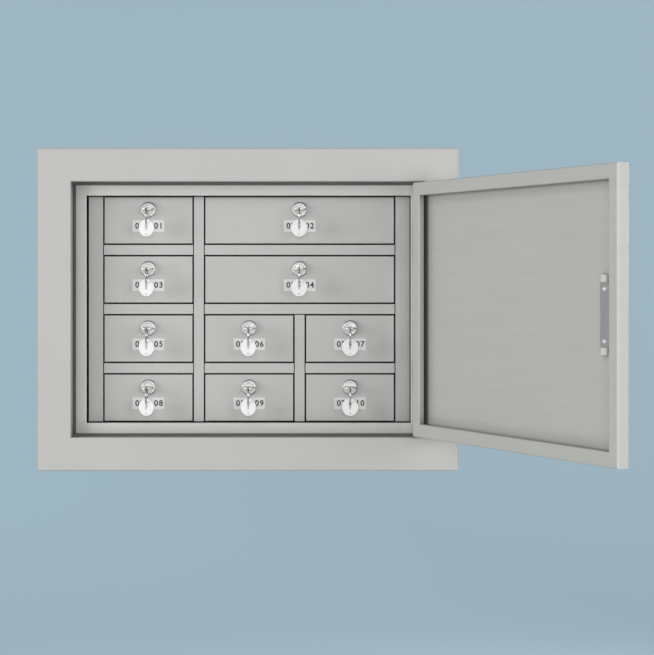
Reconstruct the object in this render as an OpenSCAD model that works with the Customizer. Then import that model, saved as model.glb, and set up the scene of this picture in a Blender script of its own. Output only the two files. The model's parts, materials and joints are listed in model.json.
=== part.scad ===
// Recessed wall locker for phones: a trimmed steel case, a framed outer door,
// and ten small doors with keyed cam locks. Millimetres, +Z up, front faces -Y.
// The origin is the centre of the four bolt holes on the back of the case.

/* [Trim frame] */
// Outer width of the trim frame
trim_w = 610; // [560:1:680]
// Outer height of the trim frame
trim_h = 468; // [440:1:520]
// Width of the trim frame's face on every side
trim_band = 48.5; // [38:0.5:60]
// Depth of the fold round the trim frame's outer edge
trim_edge = 12; // [6:1:20]

/* [Depths] */
// Overall depth, from the trim face to the back
total_d = 230; // [200:5:320]
// Depth of the door stop behind the trim face
stop_d = 22; // [20:0.5:26]
// Depth of the small doors behind the trim face
grid_d = 44.5; // [44.5:0.5:60]
// Depth of the dark groove between the trim and the door stop
groove_d = 10; // [6:1:16]
// Width of that groove
groove_w = 3; // [2:0.5:5]
// Width of the door stop's face
stop_band = 16.5; // [12:0.5:17.5]
// Depth of the fold along the door stop's inner edge
stop_fold = 4; // [2.5:0.5:6]

/* [Grid] */
// Width of the upright at each side, beside the first and the last column
side_w = 20.9; // [16:0.1:26]
// Height of the first and the last row's openings that the door stop hides
row_over = 0.95; // [0:0.05:1.5]
// Width of the bars between the openings
bar_w = 14.5; // [13.5:0.5:16]
// Depth of the folds along each bar
bar_fold = 14; // [12.5:0.5:14]
// Gap all round a small door
door_gap = 2.4; // [1.8:0.1:2.6]
// Gap between the grid's uprights and the door stop's inner edge
unit_gap = 0.6; // [0.4:0.1:1.2]
// Gap between an upright and a cross bar where one ends at the other
rail_gap = 1.3; // [0.6:0.1:1.8]
// Extra height of the opening above the first row and below the last
end_gap = 1; // [0:0.1:1.5]

/* [Sheet metal] */
// Thickness of the case, frames, bars and doors
sheet = 1.2; // [1:0.1:1.3]
// Thickness of the shelves and partitions
shelf_t = 1; // [0.8:0.1:1.5]
// Middle radius of the visible folds
bend_r = 1.4; // [1:0.1:2]
// Depth of the folds round a small door
door_fold = 12; // [8:0.5:12.5]

/* [Outer door] */
// Gap beside the outer door
outer_gap = 2; // [1.8:0.1:3]
// Gap above and below the outer door
outer_gap_end = 2.5; // [2:0.5:4]
// Thickness of the outer door
outer_t = 17; // [15:0.5:18.5]
// Width of the lip round the outer door's inner side
outer_lip = 19; // [15:0.5:22]
// Depth of the fold on that lip
outer_lip_fold = 8; // [5:0.5:10]
// Angle at which the outer door stands open
rest_open = 116; // [90:1:150]

/* [Outer hinges] */
// Length of a butt hinge
hinge_len = 52; // [40:1:70]
// Distance of each butt hinge from mid-height
hinge_z = 96; // [60:1:120]
// Radius of a hinge knuckle
knuckle_r = 2.5; // [2.2:0.1:2.6]
// Distance of the hinge pin in front of the trim face
pin_out = 3; // [2.9:0.1:4]
// Thickness of a hinge leaf
leaf_t = 0.8; // [0.6:0.05:0.8]
// Depth of a hinge leaf behind the trim face
leaf_d = 14; // [10:0.5:14.5]
// Radius of the hinge pins
hinge_pin_r = 1.5; // [1.2:0.1:1.6]

/* [Small hinges] */
// Radius of the hinge rods behind the bars
rod_r = 1.5; // [1.2:0.1:1.5]
// Distance of a rod from the door's edge and face
rod_in = 3; // [3:0.1:3.3]
// Outer radius of the barrel rolled on each door
barrel_r = 2.6; // [2.3:0.1:2.6]

/* [Locks] */
// Distance of the lock below the top of the opening
lock_drop = 20.7; // [19:0.5:24]
// Radius of the lock's bezel
bezel_r = 11.5; // [10.5:0.5:12]
// Height of the bezel in front of the door
bezel_h = 6; // [5:0.5:7]
// Radius of the lock's body
body_r = 9.5; // [9:0.1:9.8]
// Width across the flats of the lock's body
body_flats = 16; // [15.5:0.1:17]
// Depth of the lock's body behind the door face
body_d = 15; // [15:0.1:16]
// Radius of the turning plug
plug_r = 7; // [6.4:0.1:7.2]
// Reach of the cam from the lock's axis
cam_len = 30; // [27:0.5:31]
// Thickness of the cam
cam_t = 2; // [1.5:0.1:2.5]

/* [Keys] */
// Distance that a key stands out from its door
key_out = 31; // [29.6:0.1:31.2]
// Width of the key's bow
bow_w = 20; // [18:0.5:22]
// Length of the key's bow
bow_len = 22; // [20:0.5:22]
// Radius of the hole in the bow
bow_hole_r = 4.6; // [4.5:0.1:4.6]
// Thickness of a key
key_t = 1.8; // [1.5:0.1:1.8]
// Outer radius of the split ring
ring_r = 12; // [11.9:0.1:12.1]
// Width of the split ring
ring_w = 2.2; // [1.8:0.1:2.2]
// Radius of the round tag
tag_r = 12.7; // [11:0.1:13]
// Thickness of the tag
tag_t = 1.5; // [1:0.1:2]

/* [Handle] */
// Distance between the handle's screws
handle_span = 64; // [56:1:72]
// Distance of the handle from the outer door's free edge
handle_in = 47; // [40:1:60]
// Distance that the handle stands out
handle_out = 22; // [18:1:25]
// Length of the plate behind the handle
plate_len = 80; // [78:1:92]
// Width of that plate
plate_w = 18; // [14:1:24]
// Thickness of that plate
plate_t = 2; // [1.5:0.1:3]

/* [Hidden] */
// Running clearance of a pin, rod or plug in its hole
run_fit = 0.05;
// How far a cut runs past the face it opens, or a fold runs into its sheet
past = 1;
// Hairline between pieces of one assembly that bear on each other
seat = 0.02;
// Radii of a bend's outer and inner faces
outer_r = bend_r + sheet / 2;
inner_r = bend_r - sheet / 2;
// Further than any section reaches from its edge
far = trim_w + trim_h;
// Gap left between neighbours that move past each other
slip = 0.3;
// Radius of the bolt holes in the back
bolt_r = 4.5;
// Hinge knuckles on one butt hinge
knuckles = 5;

opening_w = trim_w - 2 * trim_band;
opening_h = trim_h - 2 * trim_band;
case_w = opening_w + 2 * sheet;
case_h = opening_h + 2 * sheet;
face_y = -total_d;
grid_y = face_y + grid_d;
stop_w = opening_w - 2 * (groove_w + stop_band);
stop_h = opening_h - 2 * (groove_w + stop_band);

unit_w = stop_w - 2 * unit_gap;
unit_h = stop_h - 2 * unit_gap;
grid_w = unit_w - 2 * side_w;
grid_h = stop_h + 2 * row_over;
cell_w = (grid_w - 2 * bar_w) / 3;
cell_h = (grid_h - 3 * bar_w) / 4;
pitch_x = cell_w + bar_w;
pitch_z = cell_h + bar_w;
function col_x(c) = -grid_w / 2 + c * pitch_x;
function row_z(r) = grid_h / 2 - cell_h - r * pitch_z;
function span_w(s) = s * cell_w + (s - 1) * bar_w;
end_z = grid_h / 2 + end_gap;
function ledge_z(r) = r == 3 ? -end_z : row_z(r);

// Each door: row from the top, column from the left, columns that it spans
DOORS = [
    [0, 0, 1], [0, 1, 2],
    [1, 0, 1], [1, 1, 2],
    [2, 0, 1], [2, 1, 1], [2, 2, 1],
    [3, 0, 1], [3, 1, 1], [3, 2, 1]
];
last = len(DOORS) - 1;
function row(i) = DOORS[i][0];
function col(i) = DOORS[i][1];
function open_w(i) = span_w(DOORS[i][2]);
function in_row(r) = [for (i = [0:last]) if (row(i) == r) i];
function two_digits(n) = n < 10 ? str("0", n) : str(n);
function id(kind, i) = str(kind, "_", two_digits(i + 1));

door_h = cell_h - 2 * door_gap;
function door_w(i) = open_w(i) - 2 * door_gap;
function lock_x(i) = col_x(col(i)) + open_w(i) / 2;
function lock_z(i) = row_z(row(i)) + cell_h - lock_drop;
rod_y = grid_y + rod_in;
function rod_x(c) = col_x(c) + door_gap + rod_in;
rod_3_top = ledge_z(1) - sheet - shelf_t - slip;
liner_x = grid_w / 2 + sheet;

outer_w = opening_w - 2 * outer_gap;
outer_h = opening_h - 2 * outer_gap_end;
pin_x = (opening_w - outer_gap) / 2;
pin_y = face_y - pin_out;
handle_x = -outer_w / 2 + handle_in;
skin_y = face_y + sheet;
screw_r = 2;
screw_head_r = 4;
screw_dome = 2.6;
post_r = 4.5;
thread_d = 10;
plate_corner = 2;
pad_w = 12;
pad_len = 9;
pad_t = 3.5;

plug_sunk = 0.6;
plug_face = bezel_h - plug_sunk;
bezel_lip_r = 1.5;
bezel_step = 1;
nut_t = 3.5;
nut_r = 13.5;
cam_y = body_d + slip;
cam_hub_wall = 1;
cam_hub_r = plug_r + cam_hub_wall;
tang = 6;
cam_screw_r = 4.5;
cam_screw_h = 2.4;

blade_w = 8;
blade_in = 14;
neck_w = 10;
neck_in = 3;
rim = 1.8;
hole_y = -(key_out - rim - bow_hole_r);
ring_t = 1.2;
ring_slack = 0.35;
ring_groove_w = 0.3;
ring_groove_d = 0.25;
ring_in_r = ring_r - ring_t;
ring_back = 1;
ring_y = -(key_out - ring_back);
ring_z = key_t / 2 + ring_slack - sqrt(pow(ring_in_r, 2) - pow(rim / 2, 2));
slot_w = 4.4;
slot_len = 10.6;
slot_knee = 4.2;
slot_tip_r = 0.9;
slot_top = ring_z - sqrt(pow(ring_in_r, 2) - pow(tag_t / 2, 2)) + seat;
tag_rim = 5.6;
tag_z = slot_top + tag_rim - tag_r;
dot_r = 1.6;
dot_rim = 2;

// Colours as the photograph shows them
powder = [0.74, 0.74, 0.72];
bright = [0.80, 0.81, 0.82];
zinc = [0.62, 0.63, 0.64];
white = [0.94, 0.94, 0.93];
steel = [0.58, 0.58, 0.60];

// A block between two corners
module block(low, high) {
    translate(low) cube(high - low);
}

// A square tube along Y, given its outer size, wall and ends
module sleeve(w, h, wall, y0, y1) {
    difference() {
        block([-w / 2, y0, -h / 2], [w / 2, y1, h / 2]);
        block([-w / 2 + wall, y0 - past, -h / 2 + wall], [w / 2 - wall, y1 + past, h / 2 - wall]);
    }
}

// A round bar along Y
module rod_along_y(r, y0, y1) {
    translate([0, y1, 0]) rotate([90, 0, 0]) cylinder(r = r, h = y1 - y0, $fn = 64);
}

// A flat shape drawn in X and Z, and given its depth along Y
module slab(y0, y1) {
    translate([0, y1, 0]) rotate([90, 0, 0]) linear_extrude(y1 - y0) children();
}

// A block round an opening: a section of distance out and depth, met at the corners
module mitred(w, h) {
    intersection() {
        across(w, w + h) children();
        rotate([0, 90, 0]) across(h, w + h) children();
    }
}

// The same section on both sides of an opening's width, along its height
module across(w, reach) {
    linear_extrude(2 * reach, center = true) intersection() {
        translate([w / 2, 0]) children();
        mirror([1, 0]) translate([w / 2, 0]) children();
    }
}

// Sections that end at distance d between two depths, their corners rounded by r
module square_end(d, front, back) {
    translate([-far, front]) square([far + d, back - front]);
}
module round_front(d, front, back, r) {
    square_end(d - r, front, back);
    square_end(d, front + r, back);
    translate([d - r, front + r]) circle(r = r, $fn = 48);
}
module round_both(d, front, back, r) {
    intersection() {
        round_front(d, front, back, r);
        translate([0, front + back]) mirror([0, 1]) round_front(d, front, back, r);
    }
}
module flared_front(d, front, back, r) {
    difference() {
        square_end(d + r, front, back);
        translate([d, front + r]) square([2 * r, back - front]);
        translate([d + r, front + r]) circle(r = r, $fn = 48);
    }
}
module flared_back(d, front, back, r) {
    translate([0, front + back]) mirror([0, 1]) flared_front(d, front, back, r);
}

// The four case walls, folded from one sheet
module casing() {
    color(powder) sleeve(case_w + 2 * sheet, case_h + 2 * sheet, sheet, skin_y + bend_r, 0);
}

// The back, with a bolt hole behind each corner compartment
module back_panel() {
    color(powder) difference() {
        block([-case_w / 2, -sheet, -case_h / 2], [case_w / 2, 0, case_h / 2]);
        for (x = [-1, 1] * pitch_x, z = [-1.5, 1.5] * pitch_z) {
            translate([x, 0, z]) rod_along_y(bolt_r, -sheet - past, past);
        }
    }
}

// The trim: outer fold, face, and the return into the opening
module trim_frame() {
    back = stop_d + groove_d - sheet;
    color(powder) translate([0, face_y, 0]) difference() {
        mitred(opening_w, opening_h) round_front(trim_band, 0, back, outer_r);
        mitred(opening_w, opening_h) flared_front(0, 0, back + past, outer_r);
        difference() {
            mitred(opening_w, opening_h) round_front(trim_band - sheet, sheet, back + past, inner_r);
            mitred(opening_w, opening_h) flared_front(sheet, sheet, back + 2 * past, inner_r);
        }
        difference() {
            mitred(opening_w, opening_h) square_end(trim_band + past, trim_edge, back + past);
            mitred(opening_w, opening_h)
                square_end(trim_band - 2 * sheet, trim_edge - past, back + 2 * past);
        }
    }
}

// The door stop: inner fold, face, groove wall, and the lip to the case
module stop_frame() {
    lip = stop_band + groove_w + sheet;
    front = stop_d;
    floor = stop_d + groove_d - sheet;
    fold = stop_d + stop_fold;
    color(powder) translate([0, face_y, 0]) difference() {
        mitred(stop_w, stop_h) {
            round_front(stop_band, front, floor + sheet, outer_r);
            flared_back(stop_band, front + outer_r, floor, inner_r);
            square_end(lip, floor, floor + sheet);
        }
        mitred(stop_w, stop_h) flared_front(0, front, floor + sheet, outer_r);
        difference() {
            mitred(stop_w, stop_h) {
                round_front(stop_band - sheet, front + sheet, floor + sheet, inner_r);
                flared_back(stop_band - sheet, front + outer_r, floor + sheet, outer_r);
            }
            mitred(stop_w, stop_h) flared_front(sheet, front + sheet, floor + past, inner_r);
        }
        mitred(stop_w, stop_h) square_end(2 * sheet, fold, floor + sheet + past);
    }
}

// A channel open to the rear, from its face's low corner to its high corner
module channel_upright(x0, x1, z0, z1) {
    difference() {
        block([x0, grid_y, z0], [x1, grid_y + bar_fold, z1]);
        block([x0 + sheet, grid_y + sheet, z0 - past], [x1 - sheet, grid_y + bar_fold + past, z1 + past]);
    }
}
module channel_across(x0, x1, z0, z1) {
    difference() {
        block([x0, grid_y, z0], [x1, grid_y + bar_fold, z1]);
        block([x0 - past, grid_y + sheet, z0 + sheet], [x1 + past, grid_y + bar_fold + past, z1 - sheet]);
    }
}

// Full-height uprights, and the short one between the last two columns
module grid_posts() {
    top = unit_h / 2;
    color(powder) {
        for (flip = [0, 1]) {
            mirror([flip, 0, 0]) channel_upright(grid_w / 2, unit_w / 2, -top, top);
        }
        channel_upright(col_x(1) - bar_w, col_x(1), -top, top);
        channel_upright(col_x(2) - bar_w, col_x(2), -top, row_z(2) + cell_h - rail_gap);
    }
}

// The head and sill, and the bars below the other rows, drilled for the rods
module grid_rails() {
    color(powder) difference() {
        union() {
            for (i = [0:last]) {
                if (row(i) < 3) {
                    x = col_x(col(i));
                    z = row_z(row(i));
                    channel_across(x + rail_gap, x + open_w(i) - rail_gap, z - bar_w, z);
                }
            }
            channel_across(-unit_w / 2, unit_w / 2, end_z, case_h / 2);
            channel_across(-unit_w / 2, unit_w / 2, -case_h / 2, -end_z);
        }
        rod_holes();
    }
}

// Clearance along every rod
module rod_holes() {
    for (c = [0:1]) {
        translate([rod_x(c), rod_y, -case_h]) cylinder(r = rod_r + run_fit, h = 2 * case_h, $fn = 32);
    }
    translate([rod_x(2), rod_y, -case_h])
        cylinder(r = rod_r + run_fit, h = case_h + rod_3_top + slip / 2, $fn = 32);
}

// One shelf under each row, with tabs that lie under the bars' upper folds
module shelves() {
    color(powder) difference() {
        for (r = [0:3]) {
            top = ledge_z(r) - sheet;
            block([-liner_x, grid_y + bar_fold, top - shelf_t], [liner_x, -sheet, top]);
            for (i = in_row(r)) {
                x0 = col_x(col(i)) + rail_gap;
                x1 = x0 + open_w(i) - 2 * rail_gap;
                block([x0, grid_y + sheet, top - shelf_t], [x1, grid_y + bar_fold + past, top]);
            }
        }
        rod_holes();
    }
}

// An upright plate from low to high, whose front edge reaches into an upright
module divider(x, low, high, front_low, front_high) {
    block([x, grid_y + bar_fold, low], [x + shelf_t, -sheet, high]);
    block(
        [x, grid_y + sheet, max(front_low, -unit_h / 2)],
        [x + shelf_t, grid_y + bar_fold + past, min(front_high, unit_h / 2)]
    );
}
module row_divider(c, r) {
    above = r == 0 ? case_h / 2 : ledge_z(r - 1) - sheet - shelf_t;
    divider(col_x(c) - bar_w + sheet, ledge_z(r) - sheet, above, row_z(r), row_z(r) + cell_h - rail_gap);
}

module partitions() {
    color(powder) {
        for (r = [0:3]) {
            row_divider(1, r);
        }
        for (r = [2:3]) {
            row_divider(2, r);
        }
    }
}

// The plates that close the compartments off from the case sides
module side_liners() {
    color(powder) for (flip = [0, 1]) {
        mirror([flip, 0, 0]) divider(liner_x, -case_h / 2, case_h / 2, -case_h, case_h);
    }
}

// Three upright rods that the small doors turn on
module hinge_rods() {
    color(zinc) {
        for (c = [0:1]) {
            translate([rod_x(c), rod_y, -case_h / 2]) cylinder(r = rod_r, h = case_h, $fn = 48);
        }
        translate([rod_x(2), rod_y, -case_h / 2])
            cylinder(r = rod_r, h = rod_3_top + case_h / 2, $fn = 48);
    }
}

// The knuckles of one butt hinge that belong to one leaf: first is 0 or 1
module leaf_knuckles(first) {
    for (k = [first:2:knuckles - 1]) {
        translate([0, 0, (k / knuckles - 0.5) * hinge_len + slip / 2]) children();
    }
}

// A hinge leaf from the pin back along the gap: side is 1 on the frame, -1 on the door
module leaf(side, first) {
    part_len = hinge_len / knuckles - slip;
    inner = outer_gap / 2 - leaf_t;
    x0 = side > 0 ? inner : -outer_gap / 2;
    x1 = side > 0 ? outer_gap / 2 : -inner;
    for (end = [-1, 1]) {
        translate([pin_x, pin_y, end * hinge_z]) difference() {
            union() {
                block([x0, pin_out, -hinge_len / 2], [x1, pin_out + leaf_d, hinge_len / 2]);
                leaf_knuckles(first) {
                    cylinder(r = knuckle_r, h = part_len, $fn = 48);
                    block([x0, 0, 0], [x1, pin_out + past, part_len]);
                }
            }
            translate([0, 0, -hinge_len])
                cylinder(r = hinge_pin_r + run_fit, h = 2 * hinge_len, $fn = 48);
        }
    }
}

module frame_leaves() {
    color(zinc) leaf(1, 0);
}

// The two hinge pins, with a flat head at each end
module hinge_pins() {
    color(zinc) for (end = [-1, 1]) {
        translate([pin_x, pin_y, end * hinge_z]) {
            translate([0, 0, -hinge_len / 2]) cylinder(r = hinge_pin_r, h = hinge_len, $fn = 48);
            for (tip = [-hinge_len / 2 - sheet, hinge_len / 2]) {
                translate([0, 0, tip]) cylinder(r = knuckle_r, h = sheet, $fn = 48);
            }
        }
    }
}

// Everything on the outer door is drawn shut and swung open about the pins
module swung() {
    translate([pin_x, pin_y, 0]) rotate([0, 0, rest_open]) translate([-pin_x, -pin_y, 0])
        children();
}

// Holes for the handle screws
module screw_holes(r, y0, y1) {
    for (end = [-1, 1]) {
        translate([handle_x, 0, end * handle_span / 2]) rod_along_y(r, y0, y1);
    }
}

// The outer door's sheet, with its edges folded back and then in to a lip
module folded_door() {
    lip = -outer_lip;
    fold = outer_t - outer_lip_fold;
    difference() {
        mitred(outer_w, outer_h) round_both(0, 0, outer_t, outer_r);
        difference() {
            mitred(outer_w, outer_h) round_both(-sheet, sheet, outer_t - sheet, inner_r);
            difference() {
                mitred(outer_w, outer_h) flared_back(lip + sheet, fold, outer_t - sheet, inner_r);
                mitred(outer_w, outer_h) square_end(lip, fold - past, outer_t);
            }
        }
        mitred(outer_w, outer_h) flared_back(lip, fold - past, outer_t, outer_r);
    }
}

// The outer door: a pan whose edges fold in to a lip and back towards the skin
module outer_door() {
    color(powder) swung() difference() {
        translate([0, face_y, 0]) folded_door();
        screw_holes(screw_r + slip / 2, face_y - past, skin_y + past);
    }
}

module door_leaves() {
    color(zinc) swung() leaf(-1, 1);
}

// A bow handle on the outside of the door, with blind screw holes
module pull_handle() {
    grip_y = face_y - handle_out + post_r;
    color(bright) swung() difference() {
        union() {
            screw_holes(post_r, grip_y, face_y);
            translate([handle_x, grip_y, -handle_span / 2]) cylinder(r = post_r, h = handle_span, $fn = 48);
            for (end = [-1, 1]) {
                translate([handle_x, grip_y, end * handle_span / 2]) sphere(r = post_r, $fn = 48);
            }
        }
        screw_holes(screw_r, face_y - thread_d, face_y + past);
    }
}

// The plate inside the door that spreads the load of the screws
module handle_plate() {
    mid_w = plate_w - 2 * plate_corner;
    mid_len = plate_len - 2 * plate_corner;
    color(steel) swung() difference() {
        slab(skin_y, skin_y + plate_t) translate([handle_x, 0]) {
            square([mid_w, plate_len], center = true);
            square([plate_w, mid_len], center = true);
            for (x = [-1, 1] * mid_w / 2, z = [-1, 1] * mid_len / 2) {
                translate([x, z]) circle(r = plate_corner, $fn = 32);
            }
        }
        screw_holes(screw_r + slip / 2, skin_y - past, skin_y + plate_t + past);
    }
}

// Two domed screws from inside, each reaching into a handle post
module handle_screws() {
    under = skin_y + plate_t;
    ball = (pow(screw_head_r, 2) + pow(screw_dome, 2)) / (2 * screw_dome);
    color(bright) swung() {
        screw_holes(screw_r, face_y - thread_d, under);
        for (end = [-1, 1]) {
            translate([handle_x, under, end * handle_span / 2]) intersection() {
                translate([0, screw_dome - ball, 0]) sphere(r = ball, $fn = 48);
                rod_along_y(screw_head_r, 0, screw_dome);
            }
        }
    }
}

// White blocks on the skin at both ends of the plate
module handle_pads() {
    color(white) swung() for (end = [-1, 1]) {
        mid = end * (plate_len + pad_len) / 2;
        block(
            [handle_x - pad_w / 2, skin_y, mid - pad_len / 2],
            [handle_x + pad_w / 2, skin_y + pad_t, mid + pad_len / 2]
        );
    }
}

// The shape of a lock body's section: a circle with two flats
module body_shape(r, flats) {
    intersection() {
        circle(r = r, $fn = 64);
        square([2 * r + past, flats], center = true);
    }
}

// One small door: sheet, folds on three edges, and a barrel rolled on the fourth
module phone_door(i) {
    x0 = col_x(col(i)) + door_gap;
    z0 = row_z(row(i)) + door_gap;
    x1 = x0 + door_w(i);
    z1 = z0 + door_h;
    fold_x = x0 + rod_in + barrel_r + sheet;
    color(powder) difference() {
        union() {
            block([x0, grid_y, z0], [x1, grid_y + sheet, z1]);
            block([x1 - sheet, grid_y, z0], [x1, grid_y + door_fold, z1]);
            block([fold_x, grid_y, z0], [x1, grid_y + door_fold, z0 + sheet]);
            block([fold_x, grid_y, z1 - sheet], [x1, grid_y + door_fold, z1]);
            translate([x0 + rod_in, rod_y, z0 - door_gap + slip])
                cylinder(r = barrel_r, h = door_h + door_gap - slip, $fn = 48);
        }
        translate([x0 + rod_in, rod_y, z0 - door_gap])
            cylinder(r = rod_r + run_fit, h = cell_h, $fn = 48);
        translate([lock_x(i), 0, lock_z(i)]) slab(grid_y - past, grid_y + sheet + past)
            body_shape(body_r + run_fit, body_flats + 2 * run_fit);
    }
}

// One lock housing with its nut: the bezel in front, the flatted body behind
module lock_housing(i) {
    inner = plug_r + run_fit;
    lip_x = bezel_r - bezel_step - bezel_lip_r;
    color(bright) translate([lock_x(i), grid_y, lock_z(i)]) {
        difference() {
            union() {
                rotate([90, 0, 0]) rotate_extrude($fn = 96) {
                    translate([inner, 0]) square([bezel_r - inner, bezel_lip_r]);
                    translate([inner, 0]) square([bezel_r - bezel_step - inner, bezel_h - bezel_lip_r]);
                    translate([inner, 0]) square([lip_x - inner, bezel_h]);
                    translate([lip_x, bezel_h - bezel_lip_r]) circle(r = bezel_lip_r, $fn = 32);
                }
                slab(0, body_d) body_shape(body_r, body_flats);
            }
            rod_along_y(inner, -bezel_h - past, body_d + past);
        }
        difference() {
            slab(sheet, sheet + nut_t) circle(r = nut_r, $fn = 6);
            slab(sheet - past, sheet + nut_t + past) body_shape(body_r + run_fit, body_flats + 2 * run_fit);
        }
    }
}

// The outline of the key's bow and neck, seen flat, with Y to the front
module key_outline() {
    difference() {
        union() {
            intersection() {
                translate([0, -(key_out - bow_len / 2)]) circle(r = bow_len / 2, $fn = 64);
                translate([-bow_w / 2, -key_out]) square([bow_w, bow_len]);
            }
            translate([-neck_w / 2, -key_out + bow_len - neck_in])
                square([neck_w, key_out - bow_len + neck_in - plug_face - seat]);
        }
        translate([0, hole_y]) circle(r = bow_hole_r, $fn = 48);
    }
}

// The turning parts of one lock, unlocked: plug, cam, cam screw, and the key in it
module lock_key(i) {
    color(bright) translate([lock_x(i), grid_y, lock_z(i)]) {
        difference() {
            rod_along_y(plug_r, -plug_face, cam_y - seat);
            block(
                [-blade_w / 2 - run_fit, -plug_face - past, -key_t / 2 - run_fit],
                [blade_w / 2 + run_fit, blade_in, key_t / 2 + run_fit]
            );
        }
        block([-tang / 2, blade_in + seat, -tang / 2], [tang / 2, cam_y + cam_t, tang / 2]);
        key_blank();
        cam();
        rod_along_y(cam_screw_r, cam_y + cam_t + seat, cam_y + cam_t + cam_screw_h);
    }
}

// The key: a flat bow and neck, and a blade that fills the keyway
module key_blank() {
    translate([0, 0, -key_t / 2]) linear_extrude(key_t) {
        key_outline();
        translate([-blade_w / 2, -plug_face - past]) square([blade_w, plug_face + blade_in]);
    }
}

// The cam: a round-ended arm with a square hole for the plug's tang
module cam() {
    hole = tang + 2 * run_fit;
    slab(cam_y, cam_y + cam_t) difference() {
        union() {
            circle(r = cam_hub_r, $fn = 48);
            translate([0, -plug_r]) square([cam_len - plug_r, 2 * plug_r]);
            translate([cam_len - plug_r, 0]) circle(r = plug_r, $fn = 48);
        }
        square(hole, center = true);
    }
}

// One split ring through the key's bow, and the round tag that hangs on it
module ring_and_tag(i) {
    tip = slot_tip_r - slot_len;
    color(bright) translate([lock_x(i), grid_y + ring_y, lock_z(i)]) {
        translate([0, 0, ring_z]) rotate([0, 90, 0]) difference() {
            rotate_extrude($fn = 96) {
                translate([ring_in_r, -ring_w / 2]) square([ring_r - ring_in_r, ring_w]);
            }
            rotate_extrude($fn = 96) {
                translate([ring_r - ring_groove_d, -ring_groove_w / 2]) square([ring_t, ring_groove_w]);
            }
        }
    }
    color(white) translate([lock_x(i), grid_y + ring_y, lock_z(i)]) {
        slab(-tag_t / 2, tag_t / 2) difference() {
            translate([0, tag_z]) circle(r = tag_r, $fn = 96);
            translate([0, slot_top]) {
                polygon([
                    [-slot_w / 2, 0], [-slot_w / 2, -slot_knee], [-slot_tip_r, tip],
                    [slot_tip_r, tip], [slot_w / 2, -slot_knee], [slot_w / 2, 0]
                ]);
                translate([0, tip]) circle(r = slot_tip_r, $fn = 24);
            }
            translate([0, tag_z - tag_r + dot_r + dot_rim]) circle(r = dot_r, $fn = 24);
        }
    }
}

casing();
back_panel();
trim_frame();
stop_frame();
grid_posts();
grid_rails();
shelves();
partitions();
side_liners();
hinge_rods();
frame_leaves();
hinge_pins();
outer_door();
door_leaves();
pull_handle();
handle_plate();
handle_screws();
handle_pads();
for (i = [0:last]) {
    phone_door(i);
    lock_housing(i);
    lock_key(i);
    ring_and_tag(i);
}
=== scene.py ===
import json
import math

import bmesh
import bpy
from mathutils import Matrix, Vector


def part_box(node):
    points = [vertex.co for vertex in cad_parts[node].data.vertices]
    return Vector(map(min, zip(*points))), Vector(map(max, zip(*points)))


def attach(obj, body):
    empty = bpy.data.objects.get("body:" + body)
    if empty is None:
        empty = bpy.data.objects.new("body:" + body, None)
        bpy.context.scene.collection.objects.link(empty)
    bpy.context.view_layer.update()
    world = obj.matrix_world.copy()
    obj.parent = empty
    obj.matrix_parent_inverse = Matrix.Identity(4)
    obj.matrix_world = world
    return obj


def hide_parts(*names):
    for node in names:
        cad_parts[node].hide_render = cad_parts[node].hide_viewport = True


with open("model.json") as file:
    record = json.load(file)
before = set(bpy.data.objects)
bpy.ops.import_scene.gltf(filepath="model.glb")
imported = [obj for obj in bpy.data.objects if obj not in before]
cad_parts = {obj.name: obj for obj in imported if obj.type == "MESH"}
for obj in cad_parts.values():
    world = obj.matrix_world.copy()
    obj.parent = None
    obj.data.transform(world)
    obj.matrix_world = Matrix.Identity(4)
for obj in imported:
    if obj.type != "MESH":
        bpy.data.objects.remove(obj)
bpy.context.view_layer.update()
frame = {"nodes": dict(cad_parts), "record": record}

MM = 0.001

# Places and names that the frame settles
TRIM_FACE_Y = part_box("trim_frame")[0].y
BODIES = frame["record"]["behaviour"]["bodies"]
NUMBERS = sorted(name[-2:] for name in BODIES if name.startswith("small_door_"))
DOOR_NODES = ["door_" + number for number in NUMBERS]

# The camera that took the photograph, and its picture
PICTURE_W, PICTURE_H = 654, 655
FOCAL_PX = 1812
AXIS_PX = (330, 281.2)
CAMERA = Vector((0.119, TRIM_FACE_Y - 2.626, 0.041))
SENSOR_MM = 36


# Materials

# Most of a noise texture's values lie between these two
NOISE_LOW = 0.3
NOISE_HIGH = 0.7

COAT = (0.526, 0.526, 0.514)
DOOR_COAT = (0.545, 0.555, 0.525)
# Black painted at the lowest end of a small door's barrel, as painted shade in the dark gap below the door
END_SHADE = (0.02, 0.02, 0.02)
END_SHADE_FADE = 0.9  # where the painted shade starts to thin out, as a share of its reach
PEEL_DEPTH_MM = 0.02
COAT_EDGE_MM = 0.5
PLASTIC_EDGE_MM = 0.2

# The darkest tone, as a share of the colour
METAL_TONE = 0.95
PLASTIC_TONE = 0.97

# How far roughness varies across a piece: a difference for coat and plastic, a factor for metal
COAT_SMOOTHER = 0.03
COAT_ROUGHER = 0.04
PLASTIC_ROUGHER = 0.06
METAL_SMOOTHER = 0.8
METAL_ROUGHER = 1.25

# How far a small door's barrel reaches below its sheet to bear on the bar, with a little to spare
BARREL_DROP = 2.25 * MM

# Every material under its own name
MATERIALS = {}


def new_material(name):
    """Keeps a new material in MATERIALS, and gives its node tree and its surface shader."""
    material = bpy.data.materials.new(name)
    material.use_nodes = True
    MATERIALS[name] = material
    return material.node_tree, material.node_tree.nodes["Principled BSDF"]


def object_coords(tree):
    return tree.nodes.new("ShaderNodeTexCoord").outputs["Object"]


def noise_at(tree, vector, scale, detail, roughness=0.5):
    made = tree.nodes.new("ShaderNodeTexNoise")
    made.inputs["Scale"].default_value = scale
    made.inputs["Detail"].default_value = detail
    made.inputs["Roughness"].default_value = roughness
    tree.links.new(vector, made.inputs["Vector"])
    return made.outputs["Fac"]


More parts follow.
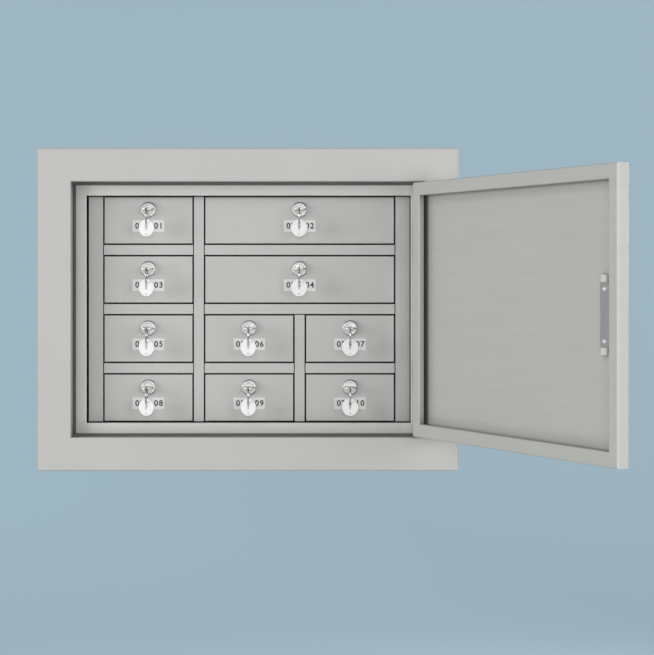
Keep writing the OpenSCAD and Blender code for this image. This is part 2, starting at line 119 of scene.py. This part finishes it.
def noise(tree, size_mm, detail=2.0, roughness=0.5):
    """Noise whose blobs measure size_mm."""
    return noise_at(tree, object_coords(tree), 1 / (size_mm * MM), detail, roughness)


def stretched_noise(tree, size_mm):
    """Noise whose blobs measure size_mm along X, Y and Z."""
    stretch = tree.nodes.new("ShaderNodeMapping")
    stretch.inputs["Scale"].default_value = [1 / (s * MM) for s in size_mm]
    tree.links.new(object_coords(tree), stretch.inputs["Vector"])
    return noise_at(tree, stretch.outputs["Vector"], 1.0, 3.0)


def spread(tree, value, low, high):
    """A number from low to high, as the noise goes from low to high."""
    made = tree.nodes.new("ShaderNodeMapRange")
    made.inputs["From Min"].default_value = NOISE_LOW
    made.inputs["From Max"].default_value = NOISE_HIGH
    made.inputs["To Min"].default_value = low
    made.inputs["To Max"].default_value = high
    tree.links.new(value, made.inputs["Value"])
    return made.outputs["Result"]


def tint(tree, value, low, high):
    """A colour from low to high, as the noise goes from low to high."""
    ramp = tree.nodes.new("ShaderNodeValToRGB")
    ramp.color_ramp.elements[0].position = NOISE_LOW
    ramp.color_ramp.elements[1].position = NOISE_HIGH
    ramp.color_ramp.elements[0].color = (*low, 1)
    ramp.color_ramp.elements[1].color = (*high, 1)
    tree.links.new(value, ramp.inputs["Fac"])
    return ramp.outputs["Color"]


def step_between(tree, value, low, high):
    """0 where the value is below low, 1 where it is above high, and smooth between."""
    made = tree.nodes.new("ShaderNodeMapRange")
    made.interpolation_type = "SMOOTHSTEP"
    made.inputs["From Min"].default_value = low
    made.inputs["From Max"].default_value = high
    tree.links.new(value, made.inputs["Value"])
    return made.outputs["Result"]


def blend_colours(tree, share, first, second):
    """The first colour where share is 0, and the second, a colour or a socket, where it is 1."""
    made = tree.nodes.new("ShaderNodeMix")
    made.data_type = "RGBA"
    tree.links.new(share, made.inputs["Factor"])
    made.inputs["A"].default_value = (*first, 1)
    if isinstance(second, tuple):
        made.inputs["B"].default_value = (*second, 1)
    else:
        tree.links.new(second, made.inputs["B"])
    return made.outputs["Result"]


def soft_edges(tree, radius_mm):
    """A normal that rounds sharp edges."""
    made = tree.nodes.new("ShaderNodeBevel")
    made.samples = 4
    made.inputs["Radius"].default_value = radius_mm * MM
    return made.outputs["Normal"]


def bumps(tree, height, depth_mm, edge_mm):
    """A normal with fine bumps and rounded edges."""
    made = tree.nodes.new("ShaderNodeBump")
    made.inputs["Strength"].default_value = 1.0
    made.inputs["Distance"].default_value = depth_mm * MM
    tree.links.new(height, made.inputs["Height"])
    tree.links.new(soft_edges(tree, edge_mm), made.inputs["Normal"])
    return made.outputs["Normal"]


def shade(colour, share):
    """The colour, lighter or darker by a share."""
    return tuple(c * share for c in colour)


def painted_corner_shade(tree, colour, reach_mm, keep):
    """The colour with painted shade, darker in folds and corners where less light reaches. The deepest
    ones keep only a share of it.
    """
    open_air = tree.nodes.new("ShaderNodeAmbientOcclusion")
    open_air.samples = 6
    open_air.inputs["Distance"].default_value = reach_mm * MM
    dimmed = tree.nodes.new("ShaderNodeMix")
    dimmed.data_type = "RGBA"
    dimmed.blend_type = "MULTIPLY"
    dimmed.inputs["Factor"].default_value = 1 - keep
    tree.links.new(colour, dimmed.inputs["A"])
    tree.links.new(open_air.outputs["Color"], dimmed.inputs["B"])
    return dimmed.outputs["Result"]


def painted_end_shade(tree, colour, share):
    """The colour, and black painted shade on the lowest share of the piece's height."""
    coords = tree.nodes.new("ShaderNodeTexCoord")
    place = tree.nodes.new("ShaderNodeSeparateXYZ")
    tree.links.new(coords.outputs["Generated"], place.inputs["Vector"])
    unshaded = step_between(tree, place.outputs["Z"], share * END_SHADE_FADE, share)
    return blend_colours(tree, unshaded, END_SHADE, colour)


def powder_coat(
    name, colour, roughness, peel=1.0, peel_mm=1.6, drift_mm=(90, 90, 90), drift_share=0.015,
    keep=0.2, reach_mm=30, shaded_end_share=0.0,
):
    """Powder coat: fine orange peel, a slight drift of tone across the sheet, painted shade in folds and
    corners, and, where asked, black painted shade at the piece's lowest end.
    """
    tree, surface = new_material(name)
    drift = stretched_noise(tree, drift_mm)
    tone = tint(tree, drift, shade(colour, 1 - drift_share), shade(colour, 1 + drift_share))
    # Painted shade: an occlusion node darkens the colour in folds and corners
    tone = painted_corner_shade(tree, tone, reach_mm, keep)
    # Black painted shade at the lowest end, where a barrel's end sits in the shaded gap below a door
    if shaded_end_share:
        tone = painted_end_shade(tree, tone, shaded_end_share)
    tree.links.new(tone, surface.inputs["Base Color"])
    wear = noise(tree, size_mm=14)
    sheen = spread(tree, wear, roughness - COAT_SMOOTHER, roughness + COAT_ROUGHER)
    tree.links.new(sheen, surface.inputs["Roughness"])
    peel_height = noise(tree, peel_mm, detail=1.5, roughness=0.4)
    tree.links.new(bumps(tree, peel_height, PEEL_DEPTH_MM * peel, COAT_EDGE_MM), surface.inputs["Normal"])
    surface.inputs["Specular IOR Level"].default_value = 0.45


def bare_metal(name, colour, roughness, grain_mm=(1.0, 1.0, 1.0), grain_depth_mm=0.004, edge_mm=0.15):
    """Plated or bare metal with fine rubbed grain, stretched along one axis where it is brushed."""
    tree, surface = new_material(name)
    surface.inputs["Metallic"].default_value = 1.0
    grain = stretched_noise(tree, grain_mm)
    smudges = noise(tree, size_mm=6)
    tone = tint(tree, smudges, shade(colour, METAL_TONE), colour)
    tree.links.new(tone, surface.inputs["Base Color"])
    sheen = spread(tree, grain, roughness * METAL_SMOOTHER, roughness * METAL_ROUGHER)
    tree.links.new(sheen, surface.inputs["Roughness"])
    tree.links.new(bumps(tree, grain, grain_depth_mm, edge_mm), surface.inputs["Normal"])


def plastic(name, colour, roughness, texture_mm=0.8, depth_mm=0.01, coat=0.0):
    """Moulded plastic or enamel with a very fine texture."""
    tree, surface = new_material(name)
    wear = noise(tree, size_mm=5)
    tone = tint(tree, wear, shade(colour, PLASTIC_TONE), colour)
    tree.links.new(tone, surface.inputs["Base Color"])
    sheen = spread(tree, wear, roughness, roughness + PLASTIC_ROUGHER)
    tree.links.new(sheen, surface.inputs["Roughness"])
    surface.inputs["Coat Weight"].default_value = coat
    surface.inputs["Coat Roughness"].default_value = 0.08
    grain = noise(tree, texture_mm)
    tree.links.new(bumps(tree, grain, depth_mm, PLASTIC_EDGE_MM), surface.inputs["Normal"])


def barrel_share():
    """The barrel's reach below the sheet, as a share of a small door's height."""
    low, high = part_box(DOOR_NODES[0])
    return BARREL_DROP / (high.z - low.z)


powder_coat("powder_coat", COAT, 0.46)
# The stop frame has the same coat painted 20% lighter: painted light, as the stop frame looks brighter
# than the trim
powder_coat("stop_coat", shade(COAT, 1.20), 0.46)
powder_coat("inner_coat", shade(COAT, 1.01), 0.46, keep=0.85)
# The small doors' barrel ends are painted black: painted shade in the gap below each door
powder_coat("small_door_coat", COAT, 0.46, keep=0.85, shaded_end_share=barrel_share())
# The outer door's coat gets the strongest painted shade, black in its deepest folds such as the hinge-side
# pocket
powder_coat(
    "door_coat", DOOR_COAT, 0.34, peel=0.05, peel_mm=4.0, drift_mm=(130, 130, 9), drift_share=0.02,
    keep=0.0, reach_mm=18,
)
bare_metal("zinc", (0.62, 0.63, 0.64), 0.34, grain_mm=(4, 4, 0.4))
bare_metal("chrome", (0.86, 0.87, 0.88), 0.12, grain_depth_mm=0.0, edge_mm=0.5)
bare_metal("lock_chrome", (0.68, 0.69, 0.70), 0.48, grain_depth_mm=0.0, edge_mm=2.5)
bare_metal("screw_steel", (0.78, 0.78, 0.78), 0.62, grain_depth_mm=0.0, edge_mm=1.2)
# The hinge rods are painted near black: painted shade where they show through the gaps between the doors
bare_metal("rod_painted_shade", (0.02, 0.02, 0.021), 0.6, grain_depth_mm=0.0)
bare_metal("nickel", (0.62, 0.61, 0.59), 0.50, grain_mm=(3, 0.25, 3), grain_depth_mm=0.0, edge_mm=0.3)
bare_metal("plate_steel", (0.47, 0.475, 0.49), 0.50, grain_mm=(6, 6, 0.3), grain_depth_mm=0.006)
bare_metal("split_ring", (0.50, 0.50, 0.49), 0.30, grain_mm=(0.6, 3, 3), grain_depth_mm=0.002, edge_mm=0.1)
plastic("white_nylon", (0.72, 0.74, 0.68), 0.42)
plastic("tag_white", (0.86, 0.86, 0.855), 0.42, texture_mm=1.5, depth_mm=0.004, coat=0.1)
plastic("label", (0.73, 0.73, 0.72), 0.35, texture_mm=2.0, depth_mm=0.003)
plastic("label_ink", (0.025, 0.026, 0.025), 0.55, texture_mm=1.0, depth_mm=0.002)
plastic("tag_print", (0.28, 0.29, 0.28), 0.5, texture_mm=1.0, depth_mm=0.002)


def dress(obj, material):
    """Gives every material slot of the object one material."""
    if not obj.data.materials:
        obj.data.materials.append(None)
    for slot in obj.material_slots:
        slot.material = MATERIALS[material]


def dress_cad_nodes():
    """The record's materials, apart from the nodes that need their own."""
    slots = {part["node"]: part["material_slot"] for part in frame["record"]["subparts"]}
    own = {
        "outer_door": "door_coat",
        "stop_frame": "stop_coat",
        "hinge_rods": "rod_painted_shade",
        "handle_screws": "screw_steel",
    }
    own.update({name: "inner_coat" for name in ("grid_posts", "grid_rails")})
    own.update({name: "small_door_coat" for name in DOOR_NODES})
    own.update({"lock_" + number: "lock_chrome" for number in NUMBERS})
    for name, obj in frame["nodes"].items():
        dress(obj, own.get(name, slots[name]))


# Pieces

# Edges that turn by more than this many degrees stay sharp
SHARP_MESH = 35
SHARP_CURVE = 40


def add_piece(obj, body, material):
    """Dresses a new piece and gives it its body."""
    dress(obj, material)
    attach(obj, body)


def mesh_piece(name, body, material, build, smooth=True):
    """A new mesh that build(bm) fills, riding on a body."""
    mesh = bpy.data.meshes.new(name)
    bm = bmesh.new()
    build(bm)
    bmesh.ops.recalc_face_normals(bm, faces=bm.faces)
    bm.to_mesh(mesh)
    bm.free()
    obj = bpy.data.objects.new(name, mesh)
    bpy.context.scene.collection.objects.link(obj)
    if smooth:
        mesh.shade_smooth()
        mesh.set_sharp_from_angle(angle=math.radians(SHARP_MESH))
    add_piece(obj, body, material)
    return obj


def add_polygon(spline_list, points):
    """A closed spline through points in X and Y."""
    spline = spline_list.new("POLY")
    spline.points.add(len(points) - 1)
    for target, (x, y) in zip(spline.points, points):
        target.co = (x, y, 0, 1)
    spline.use_cyclic_u = True


def flat_plate(name, outlines, thickness, bevel, placing):
    """A plate with holes, rounded along its edges. Its outlines are drawn in X and Z, facing -Y."""
    curve = bpy.data.curves.new(name, "CURVE")
    curve.dimensions = "2D"
    curve.fill_mode = "BOTH"
    curve.extrude = thickness / 2 - bevel
    curve.bevel_depth = bevel
    curve.bevel_resolution = 3
    curve.offset = -bevel
    for points in outlines:
        add_polygon(curve.splines, points)
    upright = Matrix.Rotation(math.radians(90), 4, "X")
    return curve_to_mesh(name, curve, placing @ upright)


def curve_to_mesh(name, curve, matrix):
    """A curve or a text as a mesh, moved to its place."""
    holder = bpy.data.objects.new(name + ".curve", curve)
    bpy.context.scene.collection.objects.link(holder)
    bpy.context.view_layer.update()
    depsgraph = bpy.context.evaluated_depsgraph_get()
    mesh = bpy.data.meshes.new_from_object(holder.evaluated_get(depsgraph))
    mesh.name = name
    mesh.transform(matrix)
    bpy.data.objects.remove(holder)
    obj = bpy.data.objects.new(name, mesh)
    bpy.context.scene.collection.objects.link(obj)
    mesh.materials.clear()
    mesh.shade_smooth()
    mesh.set_sharp_from_angle(angle=math.radians(SHARP_CURVE))
    return obj


def arc(centre, radius, start, stop, steps):
    """Points of an arc, with angles in degrees."""
    turns = [math.radians(start + (stop - start) * i / steps) for i in range(steps + 1)]
    return [(centre[0] + radius * math.cos(t), centre[1] + radius * math.sin(t)) for t in turns]


def circle(centre, radius, steps=64):
    return arc(centre, radius, 0, 360, steps)[:-1]


def rounded_box(width, height, radius, steps=8):
    x, z = width / 2 - radius, height / 2 - radius
    corners = [((x, z), 0), ((-x, z), 90), ((-x, -z), 180), ((x, -z), 270)]
    return [point for centre, start in corners for point in arc(centre, radius, start, start + 90, steps)]


# Labels

LABEL_W = 47 * MM
LABEL_H = 17.5 * MM
LABEL_T = 0.3 * MM
LABEL_DROP = 24 * MM  # from the lock's axis down to the label's middle
LABEL_CORNER = 1.2 * MM
LABEL_EDGE = 0.08 * MM
DIGIT_H = 8.2 * MM
DIGIT_SHARE = 0.70  # a digit's height as a share of the text's size
DIGIT_SHIFT = 0.9 * MM  # the print's middle lies right of the label's
STROKE_GROWTH = 0.3 * MM
DIGIT_SPACING = 1.2
INK_T = 0.03 * MM
FIRST_NUMBER = "02 - "


def door_face(number):
    """The lock's axis in X and Z, and the plane of the small door's face."""
    low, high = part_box("lock_" + number)
    centre = (low + high) / 2
    return centre.x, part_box("door_" + number)[0].y, centre.z


def make_label(number):
    """A thin plate on a small door, and the raised ink of its number."""
    x, face_y, z = door_face(number)
    middle = Matrix.Translation((x, face_y - LABEL_T / 2, z - LABEL_DROP))
    outline = rounded_box(LABEL_W, LABEL_H, LABEL_CORNER)
    label = flat_plate("label_" + number, [outline], LABEL_T, LABEL_EDGE, middle)
    add_piece(label, "small_door_" + number, "label")

    text = bpy.data.curves.new("digits_" + number, "FONT")
    text.body = FIRST_NUMBER + number
    text.size = DIGIT_H / DIGIT_SHARE
    text.align_x = "CENTER"
    text.align_y = "CENTER"
    text.extrude = INK_T
    text.offset = STROKE_GROWTH
    text.space_character = DIGIT_SPACING
    front = Matrix.Translation((x + DIGIT_SHIFT, face_y - LABEL_T - INK_T, z - LABEL_DROP))
    digits = curve_to_mesh("digits_" + number, text, front @ Matrix.Rotation(math.radians(90), 4, "X"))
    add_piece(digits, "small_door_" + number, "label_ink")


# Split rings and tags

RING_R = 12.0 * MM
RING_BAND = 1.2 * MM
COIL_W = 1.02 * MM
COIL_GAP = 0.03 * MM
WIRE_CHAMFER = 0.12 * MM
STEP_TURNS = 0.09  # how much of a turn the wire takes to step over
RING_START = 160  # where the wire's end lies, in degrees from the top
RING_STEPS = 128
END_GAP_STEPS = 3
TAG_R = 12.7 * MM
TAG_T = 1.5 * MM
TAG_EDGE = 0.35 * MM
TAG_RIM = 5.6 * MM  # from the slot's top up to the rim
TAG_TURN_DEG = -24
TAG_TURN_SPREAD_DEG = 3
SLOT_W = 4.4 * MM
SLOT_LEN = 10.6 * MM
SLOT_TIP_R = 0.9 * MM
SLOT_KNEE = 4.2 * MM  # from the slot's top down to where it narrows
DOT_R = 1.0 * MM
DOT_T = 0.06 * MM
DOT_PROUD = 0.02 * MM
DOT_IN = 3.4 * MM  # from the rim's lowest point up to the dot's middle


def ring_place(number):
    """The middle of the split ring, from the top and the front of its CAD node."""
    low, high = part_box("key_tag_" + number)
    x = (low.x + high.x) / 2
    return Vector((x, low.y + RING_R, high.z - RING_R))


def make_ring(number):
    """A flat spring-steel wire wound twice, stepping over to its second turn."""
    centre = ring_place(number)
    inner, outer = RING_R - RING_BAND, RING_R
    half = COIL_W / 2
    section = [
        (inner + WIRE_CHAMFER, -half), (outer - WIRE_CHAMFER, -half), (outer, -half + WIRE_CHAMFER),
        (outer, half - WIRE_CHAMFER), (outer - WIRE_CHAMFER, half), (inner + WIRE_CHAMFER, half),
        (inner, half - WIRE_CHAMFER), (inner, -half + WIRE_CHAMFER),
    ]

    def offset(turn):
        """Where across the ring the wire runs: its first turn, the step, its second turn."""
        share = min(max((turn - (1 - STEP_TURNS)) / (2 * STEP_TURNS), 0), 1)
        eased = share * share * (3 - 2 * share)
        return (eased - 0.5) * 2 * (half + COIL_GAP)

    def build(bm):
        rings = []
        for i in range(2 * RING_STEPS - END_GAP_STEPS):
            turn = i / RING_STEPS
            angle = math.radians(RING_START) + 2 * math.pi * turn
            across = offset(turn)
            rings.append([
                bm.verts.new(centre + Vector((across + w, r * math.cos(angle), r * math.sin(angle))))
                for r, w in section
            ])
        for a, b in zip(rings, rings[1:]):
            for k in range(len(a)):
                bm.faces.new((a[k], a[k - 1], b[k - 1], b[k]))
        bm.faces.new(rings[0])
        bm.faces.new(list(reversed(rings[-1])))

    ring = mesh_piece("split_ring_" + number, "tag_set_" + number, "split_ring", build)
    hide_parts("key_tag_" + number)


def tag_turn(index):
    """How far a tag hangs turned on its ring, in degrees, a little different on each door."""
    return TAG_TURN_DEG + TAG_TURN_SPREAD_DEG * math.sin(index * 2.3)


def make_tag(index, number):
    """A round tag with a slot that narrows downwards, hanging on its ring, and the dot printed on it."""
    centre = ring_place(number)
    slot_top = -(RING_R - RING_BAND)
    tag_z = slot_top + TAG_RIM - TAG_R
    knee = slot_top - SLOT_KNEE
    tip_z = slot_top - SLOT_LEN + SLOT_TIP_R
    slot = (
        arc((0, slot_top - SLOT_W / 2), SLOT_W / 2, 0, 180, steps=16)
        + [(-SLOT_W / 2, knee)]
        + arc((0, tip_z), SLOT_TIP_R, 190, 350, steps=12)
        + [(SLOT_W / 2, knee)]
    )
    placing = Matrix.Translation(centre) @ Matrix.Rotation(math.radians(tag_turn(index)), 4, "Z")
    rim = circle((0, tag_z), TAG_R, steps=96)
    tag = flat_plate("tag_" + number, [rim, slot], TAG_T, TAG_EDGE, placing)
    add_piece(tag, "tag_set_" + number, "tag_white")
    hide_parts("key_tag_" + number)

    dot_y = -TAG_T / 2 - DOT_PROUD
    dot_outline = circle((0, tag_z - TAG_R + DOT_IN), DOT_R, steps=24)

    def build(bm):
        front = [bm.verts.new(placing @ Vector((x, dot_y, z))) for x, z in dot_outline]
        back = [bm.verts.new(placing @ Vector((x, dot_y + DOT_T, z))) for x, z in dot_outline]
        bm.faces.new(front)
        bm.faces.new(list(reversed(back)))
        for k in range(len(front)):
            bm.faces.new((front[k], front[k - 1], back[k - 1], back[k]))

    mesh_piece("tag_dot_" + number, "tag_set_" + number, "tag_print", build, smooth=False)


# The room that the object is shown in, in metres

FLOOR_Z = -1.15
ROOM_R = 5.0
ROOM_TOP = 3.2
SWEEP_R = 1.6
SWEEP_STEPS = 16
ROOM_SIDES = 96

# The backdrop turns from the front's neutral grey to the wall's blue between these two places in Y
GREY_Y = 0.0
BLUE_Y = 3.6
GREY_PAINT = (0.36, 0.36, 0.355)
BLUE_PAINT = ((0.30, 0.425, 0.49), (0.305, 0.43, 0.497))
GREY_GLOW = (0.8, 0.8, 0.79)
BLUE_GLOW = (0.64, 0.855, 1.0)
GLOW = 0.33


def make_room_paint():
    """Blue behind the locker, as the wall in the photograph, and neutral behind the camera."""
    tree, surface = new_material("studio_paint")
    surface.inputs["Roughness"].default_value = 0.9
    surface.inputs["Specular IOR Level"].default_value = 0.1
    place = tree.nodes.new("ShaderNodeSeparateXYZ")
    tree.links.new(object_coords(tree), place.inputs["Vector"])
    wall_share = step_between(tree, place.outputs["Y"], GREY_Y, BLUE_Y)
    tone = tint(tree, noise(tree, size_mm=800), *BLUE_PAINT)
    tree.links.new(blend_colours(tree, wall_share, GREY_PAINT, tone), surface.inputs["Base Color"])
    tree.links.new(blend_colours(tree, wall_share, GREY_GLOW, BLUE_GLOW), surface.inputs["Emission Color"])
    surface.inputs["Emission Strength"].default_value = GLOW


def make_stage():
    """A floor well below the locker that sweeps up into a round backdrop."""
    sweep_turns = [math.radians(90 * i / SWEEP_STEPS) for i in range(SWEEP_STEPS + 1)]
    profile = [
        (ROOM_R - SWEEP_R + SWEEP_R * math.sin(t), FLOOR_Z + SWEEP_R - SWEEP_R * math.cos(t))
        for t in sweep_turns
    ]
    profile.append((ROOM_R, ROOM_TOP))
    bm = bmesh.new()
    hub = bm.verts.new((0, 0, FLOOR_Z))
    loops = [
        [bm.verts.new((x, y, z)) for x, y in circle((0, 0), r, ROOM_SIDES)]
        for r, z in profile
    ]
    for k in range(ROOM_SIDES):
        bm.faces.new((hub, loops[0][k - 1], loops[0][k]))
    for a, b in zip(loops, loops[1:]):
        for k in range(ROOM_SIDES):
            bm.faces.new((a[k - 1], b[k - 1], b[k], a[k]))
    mesh = bpy.data.meshes.new("studio")
    bmesh.ops.recalc_face_normals(bm, faces=bm.faces)
    bm.to_mesh(mesh)
    bm.free()
    mesh.shade_smooth()
    studio = bpy.data.objects.new("studio", mesh)
    bpy.context.scene.collection.objects.link(studio)
    mesh.materials.append(MATERIALS["studio_paint"])
    studio.visible_shadow = False
    studio.visible_diffuse = False


# The world's strength behind and in front, and where it is strongest
WORLD_BACK = 0.24
WORLD_FRONT = 0.34
WORLD_FROM = (-0.20, -0.98, 0.0)
WORLD_COLOUR = (1.0, 0.995, 0.985, 1)
WORLD_TURN = (-0.2, 1.0)  # cosines of the angles from there at which it starts to grow and ends


def make_world():
    """An even light, strongest from the front and a little from the left."""
    world = bpy.data.worlds.new("world")
    bpy.context.scene.world = world
    world.use_nodes = True
    tree = world.node_tree
    back = tree.nodes["Background"]
    coords = tree.nodes.new("ShaderNodeTexCoord")
    along = tree.nodes.new("ShaderNodeVectorMath")
    along.operation = "DOT_PRODUCT"
    along.inputs[1].default_value = WORLD_FROM
    tree.links.new(coords.outputs["Generated"], along.inputs[0])
    ramp = tree.nodes.new("ShaderNodeMapRange")
    ramp.interpolation_type = "SMOOTHSTEP"
    ramp.inputs["From Min"].default_value = WORLD_TURN[0]
    ramp.inputs["From Max"].default_value = WORLD_TURN[1]
    ramp.inputs["To Min"].default_value = WORLD_BACK
    ramp.inputs["To Max"].default_value = WORLD_FRONT
    tree.links.new(along.outputs["Value"], ramp.inputs["Value"])
    tree.links.new(ramp.outputs["Result"], back.inputs["Strength"])
    back.inputs["Color"].default_value = WORLD_COLOUR


def area_lamp(name, place, target, side, power):
    """A square lamp at a place, aimed at a target."""
    data = bpy.data.lights.new(name, "AREA")
    data.shape = "SQUARE"
    data.size = side
    data.energy = power
    lamp = bpy.data.objects.new(name, data)
    bpy.context.scene.collection.objects.link(lamp)
    lamp.location = place
    lamp.rotation_euler = (Vector(target) - Vector(place)).to_track_quat("-Z", "Y").to_euler()


# Each lamp's name, place, target, side in metres and power in watts
LAMPS = [
    ("front_light", (0.1, -3.1, 0.2), (0, -0.2, 0), 1.2, 21),
    ("right_light", (1.93, -2.53, 0.2), (0, -0.2, 0), 1.3, 28),
    ("left_light", (-2.6, -1.73, 0.2), (0, -0.2, 0), 1.3, 37),
    ("back_light", (2.3, 2.0, 0.6), (0.1, -0.2, 0.1), 1.2, 42),
]


def make_camera():
    """The camera that took the photograph, level, with its picture shifted off its axis."""
    data = bpy.data.cameras.new("camera")
    data.sensor_width = SENSOR_MM
    data.lens = FOCAL_PX / PICTURE_H * SENSOR_MM
    data.shift_x = (PICTURE_W / 2 - AXIS_PX[0]) / PICTURE_H
    data.shift_y = (AXIS_PX[1] - PICTURE_H / 2) / PICTURE_H
    data.clip_start, data.clip_end = 0.1, 30
    camera = bpy.data.objects.new("camera", data)
    bpy.context.scene.collection.objects.link(camera)
    camera.location = CAMERA
    camera.rotation_euler = (math.radians(90), 0, 0)
    bpy.context.scene.camera = camera


for old in [o for o in bpy.context.scene.objects if o.type in ("LIGHT", "CAMERA")]:
    bpy.data.objects.remove(old)
make_camera()
dress_cad_nodes()
for index, number in enumerate(NUMBERS):
    make_label(number)
    make_ring(number)
    make_tag(index, number)
make_room_paint()
make_stage()
make_world()
for lamp in LAMPS:
    area_lamp(*lamp)
bpy.context.scene.view_settings.view_transform = "Standard"
